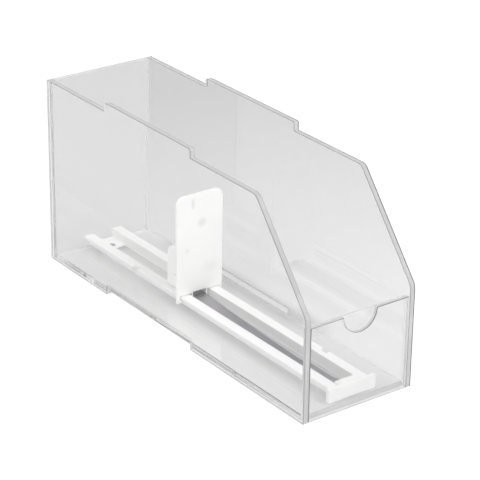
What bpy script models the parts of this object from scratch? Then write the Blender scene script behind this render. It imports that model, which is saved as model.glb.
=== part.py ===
"""Spring pusher display tray.

An open-topped, stackable tray of clear sheet. A spring pusher slides on a track along its floor and keeps
the products against the low front wall. A steel tape, wound on a drum behind the paddle, pulls it forward.

Metres, +Z up. The origin is the middle of the tray's base. The front wall faces -Y, and +X is to the right
of someone who faces it from the front. Distances named from_front start at the front wall's outer face.
"""

import math

import bmesh
import bpy
from mathutils import Matrix

# The tray
TRAY_WIDTH = 0.063
TRAY_LENGTH = 0.213
SHEET = 0.003
SIDE_HEIGHT = 0.0985
SIDE_FRONT_HEIGHT = 0.052
SLOPE_RUN = 0.038
FRONT_WALL_HEIGHT = 0.047
TAB_FROM_FRONT = (0.088, 0.160)
TAB_RISE = 0.0045
TAB_CORNER = 0.0012
SLOPE_EASE = 0.0025
RECESS_CLEARANCE = 0.0005
RECESS_DEPTH = 0.005
NOTCH_RADIUS = 0.0094
FRONT_SHEET = 0.002
LABEL_SHEET = 0.001
GAP = 0.0003
SHEET_BEVEL = 0.0002
STEP = 0.0001  # where shapes of one moulding are joined, their faces are set apart by this much

# The track: two rails joined by a plate at each end
TRACK_HALF_WIDTH = 0.0112
TRACK_FOOT_HALF_WIDTH = 0.0082
CHANNEL_HALF_WIDTH = 0.0060
TRACK_BASE_Z = SHEET + GAP
PLATE_TOP_Z = 0.0043
WINDOW_FROM_FRONT = (0.017, 0.1975)
LIP_UNDERSIDE_Z = 0.0076
RAIL_TOP_Z = 0.0090
GATE_DEPTH = 0.0023
GATE_LENGTH = 0.005
RIGHT_GATE_FROM_FRONT = 0.0385
LEFT_GATE_FROM_FRONT = 0.1625
SCREWS_FROM_FRONT = (0.0142, 0.201)
SCREW_HEAD_RADIUS = 0.0016
SCREW_SHANK_RADIUS = 0.00075
SCREW_LENGTH = 0.0033
SCREW_HOLE_RADIUS = 0.0011
SCREW_PIT_Z = 0.0007
TRACK_BEVEL = 0.0002

# The front stop
STOP_HALF_WIDTH = 0.0136
STOP_FROM_FRONT = 0.0053
STOP_THICKNESS = 0.0022
STOP_TOP_Z = 0.0099
STOP_BEVEL = 0.0004
LEDGE_REACH = 0.0039
LEDGE_TOP_Z = STOP_TOP_Z - 0.0002
LEDGE_UNDERSIDE_Z = 0.0082
PIN_HOLE_X = -0.0041
PIN_HOLE_FROM_FRONT = 0.0097
PIN_HOLE_RADIUS = 0.0008
PIN_HOLE_DEPTH = 0.0011

# The pusher
PADDLE_FROM_FRONT = 0.1215
PADDLE_HALF_WIDTH = 0.0135
PADDLE_THICKNESS = 0.0016
PADDLE_TOP_Z = 0.062
PADDLE_CORNER = 0.004
PADDLE_BEVEL = 0.0003
PUSHER_BASE_Z = RAIL_TOP_Z + 0.0004
LEG_THICKNESS = 0.0019
TOE_TOP_Z = LIP_UNDERSIDE_Z - 0.0004
TOE_THICKNESS = 0.0016
TOE_REACH = 0.0021
TONGUE_HALF_WIDTH = 0.0047
TONGUE_BASE_Z = 0.0057
SLOT_HALF_WIDTH = 0.0039
SLOT_BASE_Z = 0.0067
SLOT_TOP_Z = PUSHER_BASE_Z + 0.0005

# The housing
HOUSING_HALF_WIDTH = 0.008
HOUSING_BACK_FROM_FRONT = 0.138
HOUSING_WALL = 0.0014
HOUSING_TOP_Z = 0.032
HOUSING_CORNER = 0.0065
HOUSING_BEVEL = 0.0002
EAR_HALF_WIDTH = 0.0122
EAR_Z = (0.0155, 0.0245)
EAR_SCREW_X = 0.0102
EAR_SCREW_Z = 0.020
EAR_SCREW_HEAD_RADIUS = 0.0017
EAR_SCREW_SHANK_RADIUS = 0.0008
EAR_SCREW_REACH = 0.0029
EAR_SCREW_HOLE_RADIUS = 0.0011
EAR_SCREW_HOLE_DEPTH = 0.0012

# The drum and its axle
DRUM_FROM_FRONT = 0.1306
DRUM_Z = 0.0140
DRUM_CORE_RADIUS = 0.0035
DRUM_FLANGE_RADIUS = 0.0058
DRUM_HALF_WIDTH = 0.0049
DRUM_FLANGE_INNER_X = 0.0039
DRUM_BORE_RADIUS = 0.0016
AXLE_RADIUS = 0.00125
AXLE_HOLE_RADIUS = 0.00155
AXLE_HEAD_RADIUS = 0.0026
AXLE_HEAD_THICKNESS = 0.001
AXLE_TIP_REACH = 0.0014
AXLE_CHAMFER = 0.0003
CLIP_RADIUS = 0.0027
CLIP_THICKNESS = 0.0008

# The tape
COIL_RADIUS = 0.0056
TAPE_HALF_WIDTH = 0.0035
TAPE_THICKNESS = 0.0002
TAPE_ANCHOR_Z = PLATE_TOP_Z + GAP + TAPE_THICKNESS / 2
TAPE_REST_Z = SHEET + GAP + TAPE_THICKNESS / 2
TAPE_DROPS_FROM_FRONT = (0.016, 0.025)
TAPE_LIFTS_FROM_FRONT = 0.030
TAPE_END_SLOPE = math.radians(5.3)
TAPE_END_RADIUS = COIL_RADIUS + GAP + TAPE_THICKNESS / 2
TAPE_END_FROM_FRONT = DRUM_FROM_FRONT - TAPE_END_RADIUS * math.sin(TAPE_END_SLOPE)
TAPE_END_Z = DRUM_Z - TAPE_END_RADIUS * math.cos(TAPE_END_SLOPE)
ANCHOR_FROM_FRONT = 0.0096
RIVET_HEAD_RADIUS = 0.0017
RIVET_HEAD_THICKNESS = 0.0007
RIVET_SHANK_RADIUS = 0.0007
RIVET_HOLE_RADIUS = 0.0010

ALONG_X = (math.radians(90), 0, math.radians(90))
ALONG_Y = (math.radians(90), 0, 0)
TURNED_TO_X = (0, math.radians(90), 0)
TURNED_TO_Y = (math.radians(-90), 0, 0)
UPRIGHT = (0, 0, 0)

CLEAR = {"colour": (0.86, 0.87, 0.88), "roughness": 0.03, "transmission": 1.0}
WHITE = {"colour": (0.90, 0.90, 0.89), "roughness": 0.38}
BLACK = {"colour": (0.025, 0.025, 0.027), "roughness": 0.45}
SPRING_STEEL = {"colour": (0.33, 0.32, 0.34), "roughness": 0.30, "metallic": 1.0}
PLATED_STEEL = {"colour": (0.42, 0.42, 0.43), "roughness": 0.35, "metallic": 1.0}


def from_front(distance):
    """The Y of a point this far behind the front wall's outer face."""
    return distance - TRAY_LENGTH / 2


def new_collection(name):
    collection = bpy.data.collections.new(name)
    bpy.context.scene.collection.children.link(collection)
    return collection


def clear_scene():
    for obj in list(bpy.data.objects):
        bpy.data.objects.remove(obj, do_unlink=True)


def material(name, colour, roughness, metallic=0.0, transmission=0.0):
    made = bpy.data.materials.new(name)
    made.use_nodes = True
    shader = made.node_tree.nodes["Principled BSDF"]
    shader.inputs["Base Color"].default_value = (*colour, 1.0)
    shader.inputs["Roughness"].default_value = roughness
    shader.inputs["Metallic"].default_value = metallic
    shader.inputs["Transmission Weight"].default_value = transmission
    return made


# Shapes. Each returns an object that is not yet in a collection.


def placed(name, mesh, location=(0, 0, 0), rotation=UPRIGHT):
    obj = bpy.data.objects.new(name, mesh)
    obj.location = location
    obj.rotation_euler = rotation
    return obj


def box(name, low, high):
    """A block between two opposite corners."""
    shape = bmesh.new()
    bmesh.ops.create_cube(shape, size=1.0)
    size = [b - a for a, b in zip(low, high)]
    bmesh.ops.transform(shape, matrix=Matrix.Diagonal((*size, 1)), verts=shape.verts)
    mesh = bpy.data.meshes.new(name)
    shape.to_mesh(mesh)
    shape.free()
    return placed(name, mesh, [(a + b) / 2 for a, b in zip(low, high)])


def cylinder(name, radius, length, centre, rotation=UPRIGHT, radius_2=None, sides=24):
    shape = bmesh.new()
    bmesh.ops.create_cone(
        shape,
        cap_ends=True,
        segments=sides,
        radius1=radius,
        radius2=radius if radius_2 is None else radius_2,
        depth=length,
    )
    mesh = bpy.data.meshes.new(name)
    shape.to_mesh(mesh)
    shape.free()
    return placed(name, mesh, centre, rotation)


def extruded(name, outline, low, high, rotation):
    """A flat outline drawn out from low to high. ALONG_X reads the outline as (y, z), ALONG_Y as (x, z)."""
    curve = bpy.data.curves.new(name, "CURVE")
    curve.dimensions = "2D"
    curve.fill_mode = "BOTH"
    curve.extrude = (high - low) / 2
    spline = curve.splines.new("POLY")
    spline.points.add(len(outline) - 1)
    for point, (a, b) in zip(spline.points, outline):
        point.co = (a, b, 0, 1)
    spline.use_cyclic_u = True
    flat = bpy.data.objects.new(name, curve)
    bpy.context.scene.collection.objects.link(flat)
    graph = bpy.context.evaluated_depsgraph_get()
    mesh = bpy.data.meshes.new_from_object(flat.evaluated_get(graph))
    bpy.data.objects.remove(flat, do_unlink=True)
    shape = bmesh.new()
    shape.from_mesh(mesh)
    bmesh.ops.remove_doubles(shape, verts=shape.verts, dist=1e-6)
    bmesh.ops.recalc_face_normals(shape, faces=shape.faces)
    shape.to_mesh(mesh)
    shape.free()
    middle = (low + high) / 2
    location = {ALONG_X: (middle, 0, 0), ALONG_Y: (0, middle, 0)}[rotation]
    return placed(name, mesh, location, rotation)


def turned(name, profile, centre, rotation, steps=32):
    """A ring or a stud turned from a closed profile of (radius, height) points, down its outer side first."""
    shape = bmesh.new()
    points = [shape.verts.new((radius, 0, height)) for radius, height in profile]
    for first, second in zip(points, points[1:]):
        shape.edges.new((first, second))
    if all(radius > 0 for radius, _ in profile):
        shape.edges.new((points[-1], points[0]))
    mesh = bpy.data.meshes.new(name)
    shape.to_mesh(mesh)
    shape.free()
    obj = placed(name, mesh, centre, rotation)
    screw = obj.modifiers.new("turn", "SCREW")
    screw.axis = "Z"
    screw.steps = steps
    screw.render_steps = steps
    screw.use_merge_vertices = True
    screw.merge_threshold = 1e-5
    return obj


def arc(centre, radius, start, end, steps):
    """Points round part of a circle, with angles in degrees."""
    angles = [math.radians(start + (end - start) * i / steps) for i in range(steps + 1)]
    return [(centre[0] + radius * math.cos(a), centre[1] + radius * math.sin(a)) for a in angles]


# Joining, cutting and finishing


def hide_tool(tool):
    tool.hide_render = True
    tool.display_type = "WIRE"
    cutters.objects.link(tool)


def combine(obj, tool, operation):
    if tool.name not in cutters.objects:
        hide_tool(tool)
    boolean = obj.modifiers.new(tool.name, "BOOLEAN")
    boolean.object = tool
    boolean.operation = operation
    boolean.solver = "EXACT"


def cut(obj, tool):
    combine(obj, tool, "DIFFERENCE")


def join(obj, tool):
    combine(obj, tool, "UNION")


def soften(obj, width, segments=1):
    """Breaks the sharp edges."""
    bevel = obj.modifiers.new("soften", "BEVEL")
    bevel.width = width
    bevel.segments = segments
    bevel.limit_method = "ANGLE"
    bevel.angle_limit = math.radians(40)


def finish_part(obj, finish, parent=None):
    """Puts a part in the object's collection, with its own material. A parent is an empty at its joint."""
    parts.objects.link(obj)
    obj.data.materials.clear()
    obj.data.materials.append(material(obj.name, **finish))
    obj.data.shade_smooth()
    obj.data.set_sharp_from_angle(angle=math.radians(35))
    if parent is not None:
        obj.parent = parent
        obj.matrix_parent_inverse = parent.matrix_world.inverted()
    return obj


def empty(name, location, parent=None):
    made = bpy.data.objects.new(name, None)
    parts.objects.link(made)
    made.empty_display_size = 0.01
    made.location = location
    if parent is not None:
        made.parent = parent
        made.matrix_parent_inverse = parent.matrix_world.inverted()
    bpy.context.view_layer.update()
    return made


# The tray's panels


def side_outline():
    """The side panel seen from the left, as (y, z), with a sloped front, a stacking tab and its recess."""
    tab_front, tab_back = [from_front(d) for d in TAB_FROM_FRONT]
    recess_front = tab_front - RECESS_CLEARANCE
    recess_back = tab_back + RECESS_CLEARANCE
    front = from_front(0)
    back = from_front(TRAY_LENGTH)
    tab_top = SIDE_HEIGHT + TAB_RISE
    return [
        (front, 0),
        (recess_front, 0),
        (recess_front, RECESS_DEPTH),
        (recess_back, RECESS_DEPTH),
        (recess_back, 0),
        (back, 0),
        (back, SIDE_HEIGHT),
        (tab_back, SIDE_HEIGHT),
        *arc((tab_back - TAB_CORNER, tab_top - TAB_CORNER), TAB_CORNER, 0, 90, 4),
        *arc((tab_front + TAB_CORNER, tab_top - TAB_CORNER), TAB_CORNER, 90, 180, 4),
        (tab_front, SIDE_HEIGHT),
        *rounded_slope(front, front + SLOPE_RUN),
    ]


def rounded_slope(front, slope_top):
    """The slope's two corners, top then bottom, each eased by a small curve."""
    corners = [
        ((slope_top + SLOPE_EASE, SIDE_HEIGHT), (slope_top, SIDE_HEIGHT), (front, SIDE_FRONT_HEIGHT)),
        ((slope_top, SIDE_HEIGHT), (front, SIDE_FRONT_HEIGHT), (front, 0)),
    ]
    points = []
    for before, corner, after in corners:
        start = towards(corner, before, SLOPE_EASE)
        end = towards(corner, after, SLOPE_EASE)
        for step in range(5):
            t = step / 4
            weights = ((1 - t) ** 2, 2 * t * (1 - t), t**2)
            points.append(
                tuple(sum(w * p[i] for w, p in zip(weights, (start, corner, end))) for i in (0, 1))
            )
    return points


def towards(start, target, distance):
    """The point this far from start on the way to target."""
    length = math.dist(start, target)
    return tuple(a + (b - a) * distance / length for a, b in zip(start, target))


def make_side_panels():
    outer = TRAY_WIDTH / 2
    for name, low in (("left_side_panel", -outer), ("right_side_panel", outer - SHEET)):
        panel = extruded(name, side_outline(), low, low + SHEET, ALONG_X)
        soften(panel, SHEET_BEVEL)
        finish_part(panel, CLEAR)


def make_front_panel():
    half = TRAY_WIDTH / 2 - SHEET - GAP
    notch = arc((0, FRONT_WALL_HEIGHT), NOTCH_RADIUS, 0, -180, 24)
    outline = [(-half, 0), (half, 0), (half, FRONT_WALL_HEIGHT), *notch, (-half, FRONT_WALL_HEIGHT)]
    panel = extruded("front_panel", outline, from_front(0), from_front(FRONT_SHEET), ALONG_Y)
    soften(panel, SHEET_BEVEL)
    finish_part(panel, CLEAR)


def make_upright(name, front, thickness, height):
    """A plain rectangular wall between the side panels."""
    half = TRAY_WIDTH / 2 - SHEET - GAP
    panel = box(name, (-half, from_front(front), 0), (half, from_front(front + thickness), height))
    soften(panel, SHEET_BEVEL)
    finish_part(panel, CLEAR)


def upright_hole(distance, top_z, bottom_z, radius, x=0.0):
    """The cutter for a hole straight down."""
    centre = (x, from_front(distance), (top_z + bottom_z) / 2)
    return cylinder("upright_hole", radius, top_z - bottom_z, centre)


def make_bottom_panel():
    half = TRAY_WIDTH / 2 - SHEET - GAP
    front = from_front(FRONT_SHEET + LABEL_SHEET + 2 * GAP)
    back = from_front(TRAY_LENGTH - SHEET - GAP)
    panel = box("bottom_panel", (-half, front, 0), (half, back, SHEET))
    for distance in SCREWS_FROM_FRONT:
        cut(panel, upright_hole(distance, SHEET + GAP, SCREW_PIT_Z, SCREW_HOLE_RADIUS))
    soften(panel, SHEET_BEVEL)
    finish_part(panel, CLEAR)


# The track and what is fixed to it


def make_track():
    """Two rails, each with a lip that the pusher's toes hook under. The tray's floor shows between them."""
    half_section = [
        (TRACK_FOOT_HALF_WIDTH, TRACK_BASE_Z),
        (TRACK_FOOT_HALF_WIDTH, LIP_UNDERSIDE_Z),
        (TRACK_HALF_WIDTH, LIP_UNDERSIDE_Z),
        (TRACK_HALF_WIDTH, RAIL_TOP_Z),
        (CHANNEL_HALF_WIDTH, RAIL_TOP_Z),
        (CHANNEL_HALF_WIDTH, PLATE_TOP_Z),
    ]
    section = half_section + [(-x, z) for x, z in reversed(half_section)]
    front = from_front(STOP_FROM_FRONT + STOP_THICKNESS + GAP)
    back = from_front(TRAY_LENGTH - SHEET - GAP)
    track = extruded("pusher_track", section, front, back, ALONG_Y)
    window_half = CHANNEL_HALF_WIDTH - STEP
    window_front, window_back = [from_front(d) for d in WINDOW_FROM_FRONT]
    window = box(
        "window",
        (-window_half, window_front, TRACK_BASE_Z - GAP),
        (window_half, window_back, PLATE_TOP_Z + GAP),
    )
    cut(track, window)
    cut(track, gate(LEFT_GATE_FROM_FRONT, -1))
    cut(track, gate(RIGHT_GATE_FROM_FRONT, 1))
    for distance in SCREWS_FROM_FRONT:
        cut(track, screw_seat(distance))
    cut(track, upright_hole(ANCHOR_FROM_FRONT, PLATE_TOP_Z + GAP, TRACK_BASE_Z - GAP, RIVET_HOLE_RADIUS))
    soften(track, TRACK_BEVEL)
    finish_part(track, WHITE)


def gate(distance, side):
    """The bite out of a lip, through which one toe drops in once the other is hooked under the far lip."""
    inner = side * (TRACK_HALF_WIDTH - GATE_DEPTH)
    outer = side * (TRACK_HALF_WIDTH + 0.001)
    y = from_front(distance)
    low = (min(inner, outer), y - GATE_LENGTH / 2, LIP_UNDERSIDE_Z - 0.0005)
    high = (max(inner, outer), y + GATE_LENGTH / 2, RAIL_TOP_Z + 0.0005)
    return box("gate", low, high)


def screw_seat(distance):
    """A cone for a flat head that goes on below as the shank's hole."""
    depth = PLATE_TOP_Z - TRACK_BASE_Z + 2 * GAP
    centre = (0, from_front(distance), (PLATE_TOP_Z + TRACK_BASE_Z) / 2)
    shank_radius = SCREW_SHANK_RADIUS + 0.00015
    head_radius = SCREW_HEAD_RADIUS + 0.0008
    return cylinder("screw_seat", shank_radius, depth, centre, radius_2=head_radius)


def make_track_screws():
    """Flat-headed screws that hold the track to the tray's floor."""
    top = PLATE_TOP_Z - 0.00005
    profile = [
        (0, 0),
        (SCREW_HEAD_RADIUS, 0),
        (SCREW_HEAD_RADIUS, -0.00015),
        (SCREW_SHANK_RADIUS, -0.0009),
        (SCREW_SHANK_RADIUS, 0.0002 - SCREW_LENGTH),
        (0, -SCREW_LENGTH),
    ]
    for name, distance in zip(("front_track_screw", "rear_track_screw"), SCREWS_FROM_FRONT):
        screw = turned(name, profile, (0, from_front(distance), top), UPRIGHT, steps=20)
        finish_part(screw, PLATED_STEEL)


def make_front_stop():
    """A wall across the track's front end, with a ledge between the rails that covers the tape's end."""
    front = from_front(STOP_FROM_FRONT)
    back = front + STOP_THICKNESS
    stop = box(
        "track_front_stop",
        (-STOP_HALF_WIDTH, front, TRACK_BASE_Z),
        (STOP_HALF_WIDTH, back, STOP_TOP_Z),
    )
    ledge_half = CHANNEL_HALF_WIDTH - GAP
    ledge = box(
        "ledge",
        (-ledge_half, back - STOP_THICKNESS / 2, LEDGE_UNDERSIDE_Z),
        (ledge_half, back + LEDGE_REACH, LEDGE_TOP_Z),
    )
    join(stop, ledge)
    hole_z = (LEDGE_TOP_Z + GAP, LEDGE_TOP_Z - PIN_HOLE_DEPTH)
    cut(stop, upright_hole(PIN_HOLE_FROM_FRONT, *hole_z, PIN_HOLE_RADIUS, PIN_HOLE_X))
    soften(stop, STOP_BEVEL, segments=2)
    finish_part(stop, WHITE)


def make_tape_anchor():
    """The rivet that holds the tape's front end down to the front plate."""
    head_base = TAPE_ANCHOR_Z + TAPE_THICKNESS / 2 + 0.00025
    head_top = head_base + RIVET_HEAD_THICKNESS
    profile = [
        (0, head_top),
        (RIVET_HEAD_RADIUS - 0.0006, head_top - 0.0001),
        (RIVET_HEAD_RADIUS, head_base + 0.0002),
        (RIVET_HEAD_RADIUS, head_base),
        (RIVET_SHANK_RADIUS, head_base),
        (RIVET_SHANK_RADIUS, TRACK_BASE_Z),
        (0, TRACK_BASE_Z),
    ]
    rivet = turned("tape_anchor_rivet", profile, (0, from_front(ANCHOR_FROM_FRONT), 0), UPRIGHT, steps=20)
    finish_part(rivet, PLATED_STEEL)


def tape_height(distance):
    """The tape drops off the front plate, lies on the floor, and then lifts in a long curve to the coil."""
    drop_start, drop_end = TAPE_DROPS_FROM_FRONT
    drop = min(max((distance - drop_start) / (drop_end - drop_start), 0.0), 1.0)
    if drop < 1.0:
        return TAPE_ANCHOR_Z + (TAPE_REST_Z - TAPE_ANCHOR_Z) * drop * drop * (3 - 2 * drop)
    lift = max((distance - TAPE_LIFTS_FROM_FRONT) / (TAPE_END_FROM_FRONT - TAPE_LIFTS_FROM_FRONT), 0.0)
    return TAPE_REST_Z + (TAPE_END_Z - TAPE_REST_Z) * lift * lift


def make_tape():
    """The drawn-out length of the spring, from its anchor to where it meets the coil."""
    start = STOP_FROM_FRONT + STOP_THICKNESS + 2 * GAP
    drop_start, drop_end = TAPE_DROPS_FROM_FRONT
    drop_steps = 8
    lift_steps = 16
    stations = [start, start + 0.004]
    stations += [drop_start + (drop_end - drop_start) * i / drop_steps for i in range(drop_steps + 1)]
    lift_length = TAPE_END_FROM_FRONT - TAPE_LIFTS_FROM_FRONT
    stations += [TAPE_LIFTS_FROM_FRONT + lift_length * i / lift_steps for i in range(lift_steps + 1)]
    shape = bmesh.new()
    rows = [
        [shape.verts.new((x, from_front(d), tape_height(d))) for x in (-TAPE_HALF_WIDTH, TAPE_HALF_WIDTH)]
        for d in stations
    ]
    for row, following in zip(rows, rows[1:]):
        shape.faces.new((row[0], row[1], following[1], following[0]))
    mesh = bpy.data.meshes.new("spring_tape")
    shape.to_mesh(mesh)
    shape.free()
    tape = placed("spring_tape", mesh)
    solidify = tape.modifiers.new("thickness", "SOLIDIFY")
    solidify.thickness = TAPE_THICKNESS
    solidify.offset = 0
    cut(tape, upright_hole(ANCHOR_FROM_FRONT, TAPE_ANCHOR_Z + GAP, TAPE_ANCHOR_Z - GAP, RIVET_HOLE_RADIUS))
    finish_part(tape, SPRING_STEEL)


# The pusher


def make_paddle(carriage):
    """The upright plate, a leg at each side that hooks under a lip, and a tongue with a slot for the tape."""
    front = from_front(PADDLE_FROM_FRONT)
    back = front + PADDLE_THICKNESS
    half = PADDLE_HALF_WIDTH
    outline = [
        (-half, PUSHER_BASE_Z),
        (half, PUSHER_BASE_Z),
        *arc((half - PADDLE_CORNER, PADDLE_TOP_Z - PADDLE_CORNER), PADDLE_CORNER, 0, 90, 8),
        *arc((PADDLE_CORNER - half, PADDLE_TOP_Z - PADDLE_CORNER), PADDLE_CORNER, 90, 180, 8),
    ]
    paddle = extruded("pusher_paddle", outline, front, back, ALONG_Y)
    soften(paddle, PADDLE_BEVEL)
    overlap_z = PUSHER_BASE_Z + 0.001
    for side in (-1, 1):
        join(paddle, leg(side, front + STEP, back - STEP, overlap_z))
    tongue = box(
        "tongue",
        (-TONGUE_HALF_WIDTH, front + STEP, TONGUE_BASE_Z),
        (TONGUE_HALF_WIDTH, back - STEP, overlap_z),
    )
    join(paddle, tongue)
    slot = box(
        "slot",
        (-SLOT_HALF_WIDTH, front - GAP, SLOT_BASE_Z),
        (SLOT_HALF_WIDTH, back + GAP, SLOT_TOP_Z),
    )
    cut(paddle, slot)
    for side in (-1, 1):
        centre = (side * EAR_SCREW_X, back, EAR_SCREW_Z)
        hole = cylinder("paddle_screw_hole", EAR_SCREW_HOLE_RADIUS, 2 * EAR_SCREW_HOLE_DEPTH, centre, ALONG_Y)
        cut(paddle, hole)
    finish_part(paddle, WHITE, carriage)


def leg(side, low_y, high_y, top):
    """A leg down past the lip's edge, with a toe that reaches in under the lip."""
    outer = PADDLE_HALF_WIDTH - 2 * STEP
    inner = PADDLE_HALF_WIDTH - LEG_THICKNESS
    toe_tip = inner - TOE_REACH
    toe_base = TOE_TOP_Z - TOE_THICKNESS
    outline = [
        (outer, toe_base),
        (outer, top),
        (inner, top),
        (inner, TOE_TOP_Z),
        (toe_tip, TOE_TOP_Z),
        (toe_tip, toe_base),
    ]
    outline = [(side * x, z) for x, z in outline]
    return extruded("leg", outline, low_y, high_y, ALONG_Y)


def housing_front():
    return from_front(PADDLE_FROM_FRONT + PADDLE_THICKNESS + GAP)


def housing_profile(inset):
    """The housing seen from the side, as (y, z). The inset one is its inside, open at the front and below."""
    front = housing_front()
    back = from_front(HOUSING_BACK_FROM_FRONT) - inset
    opening = 0.002 if inset else 0
    top = HOUSING_TOP_Z - inset
    corner = HOUSING_CORNER - inset
    return [
        (front - opening, PUSHER_BASE_Z - opening),
        (back, PUSHER_BASE_Z - opening),
        *arc((back - corner, top - corner), corner, 0, 90, 8),
        (front - opening, top),
    ]


def make_housing(carriage):
    """The hood over the drum. Its side walls slide along the rails, and an ear on each side takes a screw."""
    half = HOUSING_HALF_WIDTH
    housing = extruded("spring_housing", housing_profile(0), -half, half, ALONG_X)
    front = housing_front()
    ears = box(
        "ears",
        (-EAR_HALF_WIDTH, front + STEP, EAR_Z[0]),
        (EAR_HALF_WIDTH, front + HOUSING_WALL, EAR_Z[1]),
    )
    join(housing, ears)
    inside = half - HOUSING_WALL
    cut(housing, extruded("housing_inside", housing_profile(HOUSING_WALL), -inside, inside, ALONG_X))
    axle_centre = (0, from_front(DRUM_FROM_FRONT), DRUM_Z)
    cut(housing, cylinder("axle_hole", AXLE_HOLE_RADIUS, 4 * half, axle_centre, TURNED_TO_X))
    for side in (-1, 1):
        centre = (side * EAR_SCREW_X, front, EAR_SCREW_Z)
        cut(housing, cylinder("ear_hole", EAR_SCREW_HOLE_RADIUS, 4 * HOUSING_WALL, centre, ALONG_Y))
    soften(housing, HOUSING_BEVEL)
    finish_part(housing, WHITE, carriage)


def make_housing_screws(carriage):
    """Pan-headed screws from behind, through the ears into the paddle."""
    head_base = housing_front() + HOUSING_WALL + GAP
    profile = [
        (0, 0.0011),
        (EAR_SCREW_HEAD_RADIUS - 0.0007, 0.0010),
        (EAR_SCREW_HEAD_RADIUS, 0.0005),
        (EAR_SCREW_HEAD_RADIUS, 0),
        (EAR_SCREW_SHANK_RADIUS, 0),
        (EAR_SCREW_SHANK_RADIUS, 0.0002 - EAR_SCREW_REACH),
        (0, -EAR_SCREW_REACH),
    ]
    for name, side in (("left_housing_screw", -1), ("right_housing_screw", 1)):
        centre = (side * EAR_SCREW_X, head_base, EAR_SCREW_Z)
        finish_part(turned(name, profile, centre, TURNED_TO_Y, steps=20), PLATED_STEEL, carriage)


def make_axle(carriage):
    """The pin through the housing, with a head on the left and a ring pushed on at the right."""
    centre = (0, from_front(DRUM_FROM_FRONT), DRUM_Z)
    head_face = HOUSING_HALF_WIDTH + GAP
    head_end = head_face + AXLE_HEAD_THICKNESS
    tip = head_face + AXLE_TIP_REACH
    profile = [
        (0, tip),
        (AXLE_RADIUS - AXLE_CHAMFER, tip),
        (AXLE_RADIUS, tip - AXLE_CHAMFER),
        (AXLE_RADIUS, -head_face),
        (AXLE_HEAD_RADIUS, -head_face),
        (AXLE_HEAD_RADIUS, AXLE_CHAMFER - head_end),
        (AXLE_HEAD_RADIUS - AXLE_CHAMFER, -head_end),
        (0, -head_end),
    ]
    finish_part(turned("drum_axle", profile, centre, TURNED_TO_X), WHITE, carriage)
    bore = AXLE_RADIUS + 0.0002
    ring = [
        (CLIP_RADIUS, head_face + CLIP_THICKNESS),
        (CLIP_RADIUS, head_face),
        (bore, head_face),
        (bore, head_face + CLIP_THICKNESS),
    ]
    finish_part(turned("axle_clip", ring, centre, TURNED_TO_X, steps=24), WHITE, carriage)


def make_drum(pivot):
    """The bobbin that turns on the axle, and the rest of the tape wound on it."""
    centre = (0, from_front(DRUM_FROM_FRONT), DRUM_Z)
    half_profile = [
        (DRUM_FLANGE_RADIUS, DRUM_HALF_WIDTH),
        (DRUM_FLANGE_RADIUS, DRUM_FLANGE_INNER_X),
        (DRUM_CORE_RADIUS, DRUM_FLANGE_INNER_X),
    ]
    bore = [(DRUM_BORE_RADIUS, -DRUM_HALF_WIDTH), (DRUM_BORE_RADIUS, DRUM_HALF_WIDTH)]
    profile = half_profile + [(radius, -x) for radius, x in reversed(half_profile)] + bore
    finish_part(turned("spring_drum", profile, centre, TURNED_TO_X), BLACK, pivot)
    inner = DRUM_CORE_RADIUS + GAP
    ring = [
        (COIL_RADIUS, TAPE_HALF_WIDTH),
        (COIL_RADIUS, -TAPE_HALF_WIDTH),
        (inner, -TAPE_HALF_WIDTH),
        (inner, TAPE_HALF_WIDTH),
    ]
    finish_part(turned("spring_coil", ring, centre, TURNED_TO_X), SPRING_STEEL, pivot)


def make_pusher():
    carriage = empty("pusher_slide_axis", (0, from_front(PADDLE_FROM_FRONT), RAIL_TOP_Z))
    pivot = empty("drum_pivot", (0, from_front(DRUM_FROM_FRONT), DRUM_Z), carriage)
    make_paddle(carriage)
    make_housing(carriage)
    make_housing_screws(carriage)
    make_axle(carriage)
    make_drum(pivot)


clear_scene()
parts = new_collection("spring_pusher_tray")
cutters = new_collection("cutters")
cutters.hide_render = True

make_side_panels()
make_front_panel()
make_upright("label_backing_sheet", FRONT_SHEET + GAP, LABEL_SHEET, FRONT_WALL_HEIGHT)
make_upright("back_panel", TRAY_LENGTH - SHEET, SHEET, SIDE_HEIGHT)
make_bottom_panel()
make_track()
make_track_screws()
make_front_stop()
make_tape_anchor()
make_tape()
make_pusher()
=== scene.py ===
"""Looks of the spring pusher display tray.

Clear acrylic sheet, white mouldings, a spring steel tape and plated screws, on a pale studio floor.
"""

import math

import bmesh
import bpy
from mathutils import Matrix, Vector


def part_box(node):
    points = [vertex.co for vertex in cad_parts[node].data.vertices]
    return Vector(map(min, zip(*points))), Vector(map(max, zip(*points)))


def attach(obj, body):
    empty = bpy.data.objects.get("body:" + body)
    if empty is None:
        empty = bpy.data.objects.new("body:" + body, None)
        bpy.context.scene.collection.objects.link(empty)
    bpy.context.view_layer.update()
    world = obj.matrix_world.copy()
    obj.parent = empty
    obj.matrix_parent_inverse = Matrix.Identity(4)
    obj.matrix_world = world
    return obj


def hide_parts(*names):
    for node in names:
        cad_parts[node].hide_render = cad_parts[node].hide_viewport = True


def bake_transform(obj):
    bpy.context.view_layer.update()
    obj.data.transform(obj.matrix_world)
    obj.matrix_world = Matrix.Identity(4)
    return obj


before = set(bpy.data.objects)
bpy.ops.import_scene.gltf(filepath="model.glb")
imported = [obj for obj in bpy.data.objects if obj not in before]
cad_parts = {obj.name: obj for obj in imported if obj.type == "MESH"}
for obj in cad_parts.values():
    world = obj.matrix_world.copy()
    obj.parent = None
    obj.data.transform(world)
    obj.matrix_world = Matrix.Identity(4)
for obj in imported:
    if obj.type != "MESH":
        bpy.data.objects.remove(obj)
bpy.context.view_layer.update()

# The studio
CAMERA_PLACE = (-0.5324, -0.7308, 0.4587)
CAMERA_AIM = (0.0057, -0.0078, 0.0437)
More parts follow.
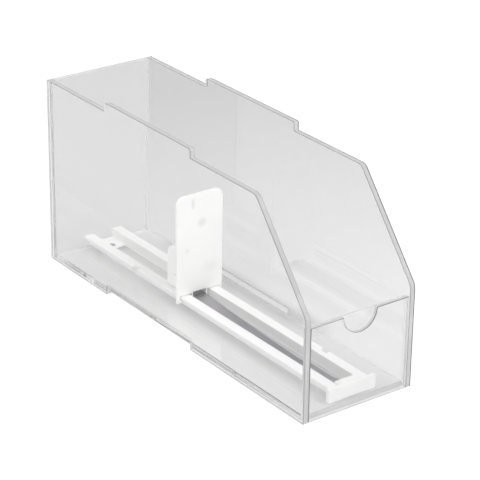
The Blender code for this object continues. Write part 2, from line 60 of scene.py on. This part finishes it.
CAMERA_ROLL = 0.81
CAMERA_LENS = 154.5
CAMERA_SENSOR = 36.0
CAMERA_CLIP = (0.01, 50.0)
# Each light's place, the point it faces, its width and height, and its power
LIGHTS = {
    "fill": ((-1.9, -0.5, 2.0), (0, 0, 0), (1.8, 1.8), 18.0),
    "key": ((0.30, -2.2, 2.0), (0, 0, 0.03), (1.5, 1.5), 33.0),
}
# The strength of the light from the room, at the horizon and straight above
ROOM_STRENGTH = (0.64, 0.95)
LIGHT_BOUNCES = 32
FLOOR_SIZE = 8.0
FLOOR_SEGMENTS = 8
FLOOR_DROP = 0.0003
FLOOR_TONES = (0.93, 0.92)
# A painted soft shadow on the floor beside the recess in the right panel: its centre, where its fading starts
# and ends each way from there, and its tone
PAINTED_SHADOW_CENTRE = (0.031, 0.022)
PAINTED_SHADOW_BESIDE = (0.005, 0.012)
PAINTED_SHADOW_ALONG = (0.045, 0.070)
PAINTED_SHADOW_TONE = 0.62

# The tape and the coil. The tape's drop and lift are measured from its front end, and the length of its rear
# part in painted shade from its rear end. It is made a little thinner and narrower than its CAD solid.
TAPE_THICKNESS = 0.0002
TAPE_THINNING = 0.98
TAPE_SIDE_GAP = 0.00005
TAPE_STEPS = 120
TAPE_DROP = 0.0013
TAPE_DROP_START = 0.0079
TAPE_DROP_END = 0.0169
TAPE_LIFT_START = 0.0219
TAPE_PAINTED_SHADE_LENGTH = 0.0088
TAPE_HALF_WIDTH_STEPS = (-1.0, -0.6, -0.2, 0.2, 0.6, 1.0)
COIL_TURNS = 8
COIL_STEPS_PER_TURN = 40
# The distance from one turn to the next, in thicknesses of the tape
COIL_PITCH = 1.18
SMOOTH_ANGLE = math.radians(40)

# Each sheet's thin direction, the direction that its open cut edges face (None where all are open), its tint
# low at the front and high at the rear, partly the sheet's own slight grey and partly painted shade, the tone
# of its cut edges and that of the painted shade line along its outer arrises
ACRYLIC_SHEETS = {
    "left_side_panel": ("X", None, 0.94, 0.94, 0.60, 0.34),
    "right_side_panel": ("X", None, 0.81, 0.60, 0.66, 0.03),
    "front_panel": ("Y", None, 0.96, 0.96, 0.70, 0.22),
    "label_backing_sheet": ("Y", None, 0.96, 0.96, 0.86, 0.75),
    "back_panel": ("Y", "Z", 0.68, 0.68, 0.80, 0.30),
    "bottom_panel": ("Z", "Y", 0.83, 0.83, 0.90, 0.75),
}
# The tint, partly painted shade, changes upward and to the rear, between these heights at mid length
TINT_AND_SHADE_RISE = 0.4
TINT_AND_SHADE_FROM = -0.02
TINT_AND_SHADE_TO = 0.12
# The painted shade line along an arris is full up to one of these distances from it and gone at the other, and
# the line along an inner arris is weaker
ARRIS_FULL = 0.00035
ARRIS_GONE = 0.00065
INNER_ARRIS_SHARE = 0.4
# How far a normal lies along the thin direction on a face and on an edge, and along the open direction on an
# edge that is bonded and on one that is open
FACE_TO_EDGE = (0.9, 0.75)
BONDED_TO_OPEN = (0.5, 0.6)
EDGE_CLEARNESS = 0.42
ACRYLIC_IOR = 1.49
SHADOW_TINT = (0.96, 0.96, 0.96, 1.0)

WHITE_TINT = (0.90, 0.90, 0.895)
WHITE_FLOW_SHARE = 0.955
MARK_GREY = (0.42, 0.42, 0.42)
WHITE_MOULDINGS = (
    "pusher_track",
    "track_front_stop",
    "spring_housing",
    "drum_axle",
    "axle_clip",
)
# Grey oval marks on the paddle: x, z, half width, half height and strength
PADDLE_MARKS = (
    (0.0012, 0.0462, 0.0028, 0.0026, 0.26),
    (-0.0042, 0.0572, 0.0012, 0.0033, 0.32),
    (-0.0075, 0.0330, 0.0015, 0.0015, 0.20),
    (0.0060, 0.0215, 0.0045, 0.0030, 0.10),
)

# The two colours that each of these mottles between
BLACK_TONES = ((0.012, 0.012, 0.013), (0.02, 0.02, 0.021))
STEEL_TONES = ((0.36, 0.345, 0.37), (0.28, 0.275, 0.315))
# Near-black steel: painted shade on the rear part of the tape and on the coil, inside the housing
PAINTED_SHADE_STEEL_TONES = ((0.022, 0.015, 0.015), (0.014, 0.010, 0.011))
PLATE_TONES = ((0.55, 0.55, 0.56), (0.42, 0.42, 0.44))
PLATED_FITTINGS = (
    "front_track_screw",
    "rear_track_screw",
    "tape_anchor_rivet",
    "left_housing_screw",
    "right_housing_screw",
)


# Materials


class Nodes:
    """A material's node tree, with short calls to add and link nodes."""

    def __init__(self, name):
        self.material = bpy.data.materials.new(name)
        self.material.use_nodes = True
        self.tree = self.material.node_tree
        self.shader = self.tree.nodes["Principled BSDF"]
        self.output = self.tree.nodes["Material Output"]

    def add(self, kind, settings=None, **inputs):
        node = self.tree.nodes.new(kind)
        for key, value in (settings or {}).items():
            setattr(node, key, value)
        for key, value in inputs.items():
            self.put(node, key.replace("_", " "), value)
        return node

    def put(self, node, key, value):
        socket = node.inputs[key]
        if isinstance(value, bpy.types.NodeSocket):
            self.tree.links.new(value, socket)
        else:
            socket.default_value = value

    def set(self, **inputs):
        for key, value in inputs.items():
            self.put(self.shader, key.replace("_", " "), value)

    def place(self):
        return self.add("ShaderNodeTexCoord").outputs["Object"]

    def stretched(self, scale):
        return self.add("ShaderNodeMapping", Vector=self.place(), Scale=scale).outputs["Vector"]

    def noise(self, vector, scale, detail=2.0, roughness=0.5):
        node = self.add("ShaderNodeTexNoise", Vector=vector, Scale=scale, Detail=detail, Roughness=roughness)
        return node.outputs["Fac"]

    def ramp(self, value, low, high, to_low, to_high):
        """A value from low to high becomes one from to_low to to_high, and is clamped outside them."""
        node = self.add("ShaderNodeMapRange", Value=value)
        for key, number in (("From Min", low), ("From Max", high), ("To Min", to_low), ("To Max", to_high)):
            self.put(node, key, number)
        return node.outputs["Result"]

    def blend(self, factor, first, second):
        """A colour from first to second, as the factor goes from 0 to 1."""
        node = self.tree.nodes.new("ShaderNodeMix")
        node.data_type = "RGBA"
        self.put(node, 0, factor)
        for key, colour in ((6, first), (7, second)):
            self.put(node, key, colour if isinstance(colour, bpy.types.NodeSocket) else (*colour, 1.0))
        return node.outputs[2]

    def mix(self, factor, first, second):
        """A number from first to second, as the factor goes from 0 to 1."""
        node = self.tree.nodes.new("ShaderNodeMix")
        for key, value in ((0, factor), (2, first), (3, second)):
            self.put(node, key, value)
        return node.outputs[0]

    def math(self, operation, first, second=0.0):
        node = self.add("ShaderNodeMath", {"operation": operation})
        self.put(node, 0, first)
        self.put(node, 1, second)
        return node.outputs[0]

    def bump(self, height, strength, distance):
        node = self.add("ShaderNodeBump", Height=height, Strength=strength, Distance=distance)
        self.put(self.shader, "Normal", node.outputs["Normal"])


def clear_acrylic(sheet, thin_axis, open_axis, tint_and_shade_low, tint_and_shade_high, edge_tone, arris_shade_tone):
    """Polished sheet, tint partly painted shade; open cut edges a little milky, with a painted shade line at
    each arris.
    """
    made = Nodes("acrylic_" + sheet)
    place = made.place()
    normal = made.add("ShaderNodeNewGeometry").outputs["True Normal"]
    facing = made.add("ShaderNodeSeparateXYZ", Vector=normal)
    edge = made.ramp(made.math("ABSOLUTE", facing.outputs[thin_axis]), *FACE_TO_EDGE, 0.0, 1.0)
    if open_axis is not None:
        is_open = made.ramp(made.math("ABSOLUTE", facing.outputs[open_axis]), *BONDED_TO_OPEN, 0.0, 1.0)
        edge = made.math("MULTIPLY", edge, is_open)
    low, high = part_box(sheet)
    across = "XYZ".index(thin_axis)
    middle = (low[across] + high[across]) / 2
    half = (high[across] - low[across]) / 2
    places = made.add("ShaderNodeSeparateXYZ", Vector=place)
    from_middle = made.math("SUBTRACT", places.outputs[thin_axis], middle)
    depth = made.math("MULTIPLY", from_middle, math.copysign(1.0, middle))
    # The painted shade line along each outer arris, weaker along each inner one
    line_start = half - ARRIS_GONE
    line_full = half - ARRIS_FULL
    outer_arris = made.ramp(depth, line_start, line_full, 0.0, 1.0)
    inner_arris = made.ramp(depth, -line_start, -line_full, 0.0, INNER_ARRIS_SHARE)
    arris = made.math("MAXIMUM", outer_arris, inner_arris)
    haze = made.noise(place, 90.0, 4.0, 0.6)
    saw_marks = made.noise(made.stretched((60.0, 900.0, 900.0)), 1.0, 2.0, 0.4)
    # The tint, partly painted shade, goes from its low to its high value upward and to the rear
    along = made.math("MULTIPLY", places.outputs["Y"], TINT_AND_SHADE_RISE)
    height = made.math("ADD", places.outputs["Z"], along)
    clear = made.ramp(height, TINT_AND_SHADE_FROM, TINT_AND_SHADE_TO, tint_and_shade_low, tint_and_shade_high)
    tone = made.mix(edge, clear, made.mix(arris, edge_tone, arris_shade_tone))
    face_rough = made.ramp(haze, 0.45, 0.8, 0.004, 0.03)
    edge_rough = made.ramp(saw_marks, 0.3, 0.7, 0.12, 0.24)
    rough = made.mix(edge, face_rough, edge_rough)
    clearness = made.mix(edge, 1.0, EDGE_CLEARNESS)
    made.set(Base_Color=tone, Roughness=rough, IOR=ACRYLIC_IOR, Transmission_Weight=clearness)
    waves = made.noise(place, 35.0, 1.0, 0.3)
    made.bump(waves, 0.25, 0.0002)
    # Shadows and soft light pass straight through
    path = made.add("ShaderNodeLightPath")
    through = made.add("ShaderNodeBsdfTransparent", Color=SHADOW_TINT)
    mix = made.add("ShaderNodeMixShader")
    soft_light = made.math("MAXIMUM", path.outputs["Is Shadow Ray"], path.outputs["Is Diffuse Ray"])
    made.put(mix, 0, soft_light)
    made.put(mix, 1, made.shader.outputs[0])
    made.put(mix, 2, through.outputs[0])
    made.put(made.output, "Surface", mix.outputs[0])
    return made.material


def white_moulding(name, marks=()):
    """White moulded plastic: a fine spark-eroded texture, a faint flow pattern and smoother, worn patches."""
    made = Nodes(name)
    place = made.place()
    flow = made.noise(made.stretched((60.0, 14.0, 60.0)), 1.0, 3.0, 0.5)
    grain = made.noise(place, 5200.0, 2.0, 0.6)
    patches = made.noise(place, 160.0, 3.0, 0.55)
    darker = tuple(WHITE_FLOW_SHARE * c for c in WHITE_TINT)
    colour = made.blend(made.ramp(flow, 0.3, 0.7, 0.0, 1.0), WHITE_TINT, darker)
    for mark in marks:
        colour = made.blend(grey_oval(made, place, mark), colour, MARK_GREY)
    rough = made.ramp(patches, 0.3, 0.7, 0.34, 0.47)
    made.set(Base_Color=colour, Roughness=rough, IOR=1.50)
    made.set(Subsurface_Weight=0.2, Subsurface_Scale=0.0015, Subsurface_Radius=(1.0, 1.0, 1.0))
    made.bump(grain, 0.12, 0.00004)
    return made.material


def grey_oval(made, place, mark):
    """How strongly a soft, uneven grey oval shows at each point."""
    x, z, half_width, half_height, strength = mark
    parts = made.add("ShaderNodeSeparateXYZ", Vector=place)
    across = made.math("DIVIDE", made.math("SUBTRACT", parts.outputs["X"], x), half_width)
    up = made.math("DIVIDE", made.math("SUBTRACT", parts.outputs["Z"], z), half_height)
    squares = made.math("ADD", made.math("POWER", across, 2.0), made.math("POWER", up, 2.0))
    uneven = made.math("ADD", squares, made.noise(place, 600.0, 3.0, 0.6))
    return made.ramp(uneven, 0.7, 1.7, strength, 0.0)


def black_acetal(name):
    """Black moulded plastic, slightly waxy, with a faint mottle."""
    made = Nodes(name)
    mottle = made.noise(made.place(), 700.0, 3.0, 0.6)
    colour = made.blend(made.ramp(mottle, 0.3, 0.7, 0.0, 1.0), *BLACK_TONES)
    made.set(Base_Color=colour, Roughness=made.ramp(mottle, 0.3, 0.7, 0.38, 0.5), IOR=1.48)
    made.bump(mottle, 0.1, 0.00003)
    return made.material


def rolled_steel(name, bright, stained):
    """Spring steel with fine lines along its length and stains in places."""
    made = Nodes(name)
    lines = made.noise(made.stretched((9000.0, 70.0, 900.0)), 1.0, 3.0, 0.6)
    stains = made.noise(made.stretched((220.0, 60.0, 220.0)), 1.0, 3.0, 0.5)
    colour = made.blend(made.ramp(stains, 0.35, 0.7, 0.0, 1.0), bright, stained)
    rough = made.ramp(lines, 0.3, 0.7, 0.24, 0.42)
    made.set(Base_Color=colour, Roughness=rough, Metallic=1.0, Anisotropic=0.4)
    made.bump(lines, 0.25, 0.00002)
    return made.material


def plated_steel(name):
    """Zinc plate: bright, slightly mottled, with turning marks."""
    made = Nodes(name)
    mottle = made.noise(made.place(), 900.0, 3.0, 0.6)
    marks = made.noise(made.stretched((400.0, 400.0, 6000.0)), 1.0, 2.0, 0.5)
    colour = made.blend(made.ramp(mottle, 0.35, 0.65, 0.0, 1.0), *PLATE_TONES)
    rough = made.ramp(mottle, 0.3, 0.7, 0.22, 0.38)
    made.set(Base_Color=colour, Roughness=rough, Metallic=1.0)
    made.bump(marks, 0.2, 0.00003)
    return made.material


def wear(node, material):
    """Gives a CAD node this material."""
    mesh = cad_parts[node].data
    mesh.materials.clear()
    mesh.materials.append(material)


for sheet, looks in ACRYLIC_SHEETS.items():
    wear(sheet, clear_acrylic(sheet, *looks))

white = white_moulding("white_moulding")
for moulding in WHITE_MOULDINGS:
    wear(moulding, white)
wear("pusher_paddle", white_moulding("white_paddle", PADDLE_MARKS))

wear("spring_drum", black_acetal("black_acetal"))

steel = rolled_steel("rolled_spring_steel", *STEEL_TONES)
# A near-black copy of the steel, as painted shade inside the housing
steel_in_painted_shade = rolled_steel("spring_steel_in_painted_shade", *PAINTED_SHADE_STEEL_TONES)
plate = plated_steel("plated_steel")
for fitting in PLATED_FITTINGS:
    wear(fitting, plate)


# Pieces


def piece(name, shape, material, body, slot, *stands_for):
    """Makes an object from a bmesh in place of CAD nodes. It rides on the body, if one is named."""
    mesh = bpy.data.meshes.new(name)
    shape.to_mesh(mesh)
    shape.free()
    mesh.materials.append(material)
    mesh.shade_smooth()
    mesh.set_sharp_from_angle(angle=SMOOTH_ANGLE)
    obj = bpy.data.objects.new(name, mesh)
    bpy.context.scene.collection.objects.link(obj)
    if body is not None:
        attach(obj, body)
    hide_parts(*stands_for)
    return obj


def strip(shape, rows):
    """Faces between successive rows of points."""
    made = [[shape.verts.new(point) for point in row] for row in rows]
    for row, following in zip(made, made[1:]):
        for i in range(len(row) - 1):
            shape.faces.new((row[i], row[i + 1], following[i + 1], following[i]))


def thickened(shape, thickness):
    """Gives a strip two faces and closed edges, with the strip as its middle."""
    for vert in shape.verts:
        vert.normal_update()
    bmesh.ops.recalc_face_normals(shape, faces=shape.faces)
    shape.normal_update()
    offsets = {vert: vert.normal * (thickness / 2) for vert in shape.verts}
    faces = list(shape.faces)
    border = [edge for edge in shape.edges if edge.is_boundary]
    twins = {vert: shape.verts.new(vert.co + offset) for vert, offset in offsets.items()}
    for vert, offset in offsets.items():
        vert.co -= offset
    for face in faces:
        shape.faces.new([twins[vert] for vert in face.verts])
    for edge in border:
        a, b = edge.verts
        shape.faces.new((a, b, twins[b], twins[a]))
    bmesh.ops.recalc_face_normals(shape, faces=shape.faces)


def tape_height(along, length, rest_z, end_z):
    """The tape drops off the front plate, lies on the floor, and then lifts in a long curve to the coil."""
    drop = min(max((along - TAPE_DROP_START) / (TAPE_DROP_END - TAPE_DROP_START), 0.0), 1.0)
    lift = max((along - TAPE_LIFT_START) / (length - TAPE_LIFT_START), 0.0)
    return rest_z + TAPE_DROP * (1 - drop * drop * (3 - 2 * drop)) + (end_z - rest_z) * lift * lift


def make_tape():
    """The drawn-out tape, from the rivet to under the coil."""
    low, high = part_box("spring_tape")
    half = high.x - TAPE_SIDE_GAP
    rest_z = low.z + TAPE_THICKNESS / 2
    end_z = high.z - TAPE_THICKNESS / 2
    length = high.y - low.y
    rows = []
    for i in range(TAPE_STEPS + 1):
        along = length * i / TAPE_STEPS
        z = tape_height(along, length, rest_z, end_z)
        rows.append([(half * x, low.y + along, z) for x in TAPE_HALF_WIDTH_STEPS])
    shape = bmesh.new()
    strip(shape, rows)
    thickened(shape, TAPE_THICKNESS * TAPE_THINNING)
    tape = piece("steel_tape", shape, steel, None, "spring_steel", "spring_tape")
    # The rear part of the tape, under the housing, gets the near-black steel as painted shade
    tape.data.materials.append(steel_in_painted_shade)
    for face in tape.data.polygons:
        face.material_index = int(face.center.y > high.y - TAPE_PAINTED_SHADE_LENGTH)
    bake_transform(tape)


def make_coil():
    """The turns of tape on the drum, as one spiral."""
    low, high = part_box("spring_coil")
    centre = (low + high) / 2
    outer = (high.z - low.z) / 2 - TAPE_THICKNESS / 2
    inner = outer - COIL_TURNS * TAPE_THICKNESS * COIL_PITCH
    steps = COIL_TURNS * COIL_STEPS_PER_TURN
    rows = []
    for i in range(steps + 1):
        turn = i / COIL_STEPS_PER_TURN
        radius = outer - (outer - inner) * i / steps
        angle = -math.pi / 2 - 2 * math.pi * turn
        y = centre.y + radius * math.cos(angle)
        z = centre.z + radius * math.sin(angle)
        rows.append([(low.x, y, z), (high.x, y, z)])
    shape = bmesh.new()
    strip(shape, rows)
    thickened(shape, TAPE_THICKNESS)
    # The coil wears the near-black steel, as painted shade inside the housing
    piece("steel_coil", shape, steel_in_painted_shade, "drum", "spring_steel", "spring_coil")


make_tape()
make_coil()


# The studio


def area_light(name, place, aim, size, power):
    data = bpy.data.lights.new(name, "AREA")
    data.shape = "RECTANGLE"
    data.size, data.size_y = size
    data.energy = power
    obj = bpy.data.objects.new(name, data)
    obj.location = place
    direction = Vector(aim) - Vector(place)
    obj.rotation_euler = direction.to_track_quat("-Z", "Y").to_euler()
    bpy.context.scene.collection.objects.link(obj)


def make_floor():
    """A pale matt floor just under the tray, with one soft painted shadow on it."""
    shape = bmesh.new()
    bmesh.ops.create_grid(shape, x_segments=FLOOR_SEGMENTS, y_segments=FLOOR_SEGMENTS, size=FLOOR_SIZE / 2)
    mesh = bpy.data.meshes.new("studio_floor")
    shape.to_mesh(mesh)
    shape.free()
    floor = bpy.data.objects.new("studio_floor", mesh)
    floor.location = (0, 0, -FLOOR_DROP)
    bpy.context.scene.collection.objects.link(floor)
    made = Nodes("studio_floor")
    place = made.place()
    pale = made.ramp(made.noise(place, 3.0, 2.0, 0.5), 0.0, 1.0, *FLOOR_TONES)
    # Painted shadow: the floor is darker in a soft patch beside the right panel's recess
    places = made.add("ShaderNodeSeparateXYZ", Vector=place)
    beside = made.math("ABSOLUTE", made.math("SUBTRACT", places.outputs["X"], PAINTED_SHADOW_CENTRE[0]))
    along = made.math("ABSOLUTE", made.math("SUBTRACT", places.outputs["Y"], PAINTED_SHADOW_CENTRE[1]))
    near_beside = made.ramp(beside, *PAINTED_SHADOW_BESIDE, 1.0, 0.0)
    near_along = made.ramp(along, *PAINTED_SHADOW_ALONG, 1.0, 0.0)
    shade = made.math("MULTIPLY", near_beside, near_along)
    made.set(Base_Color=made.mix(shade, pale, PAINTED_SHADOW_TONE), Roughness=0.8, Specular_IOR_Level=0.1)
    mesh.materials.append(made.material)


def make_world():
    """White light from all round, brighter towards the ceiling."""
    world = bpy.data.worlds.new("studio")
    bpy.context.scene.world = world
    world.use_nodes = True
    tree = world.node_tree
    background = tree.nodes["Background"]
    direction = tree.nodes.new("ShaderNodeTexCoord")
    split = tree.nodes.new("ShaderNodeSeparateXYZ")
    tree.links.new(direction.outputs["Generated"], split.inputs[0])
    ramp = tree.nodes.new("ShaderNodeMapRange")
    ramp.inputs["From Min"].default_value = 0.0
    ramp.inputs["From Max"].default_value = 1.0
    ramp.inputs["To Min"].default_value, ramp.inputs["To Max"].default_value = ROOM_STRENGTH
    tree.links.new(split.outputs["Z"], ramp.inputs["Value"])
    tree.links.new(ramp.outputs["Result"], background.inputs["Strength"])
    background.inputs["Color"].default_value = (1.0, 1.0, 1.0, 1.0)


def make_camera():
    """A camera at the photo's viewing angle."""
    data = bpy.data.cameras.new("camera")
    data.lens = CAMERA_LENS
    data.sensor_width = CAMERA_SENSOR
    data.clip_start, data.clip_end = CAMERA_CLIP
    camera = bpy.data.objects.new("camera", data)
    direction = Vector(CAMERA_AIM) - Vector(CAMERA_PLACE)
    turn = direction.to_track_quat("-Z", "Y").to_matrix().to_4x4()
    roll = Matrix.Rotation(math.radians(CAMERA_ROLL), 4, "Z")
    camera.matrix_world = Matrix.Translation(CAMERA_PLACE) @ turn @ roll
    bpy.context.scene.collection.objects.link(camera)
    bpy.context.scene.camera = camera


make_floor()
make_world()
for light, setting in LIGHTS.items():
    area_light(light, *setting)
make_camera()

scene = bpy.context.scene
scene.view_settings.view_transform = "Standard"
scene.view_settings.look = "None"
scene.cycles.caustics_refractive = False
scene.cycles.caustics_reflective = False
scene.cycles.max_bounces = LIGHT_BOUNCES
scene.cycles.transmission_bounces = LIGHT_BOUNCES
scene.cycles.glossy_bounces = LIGHT_BOUNCES
scene.cycles.transparent_max_bounces = LIGHT_BOUNCES
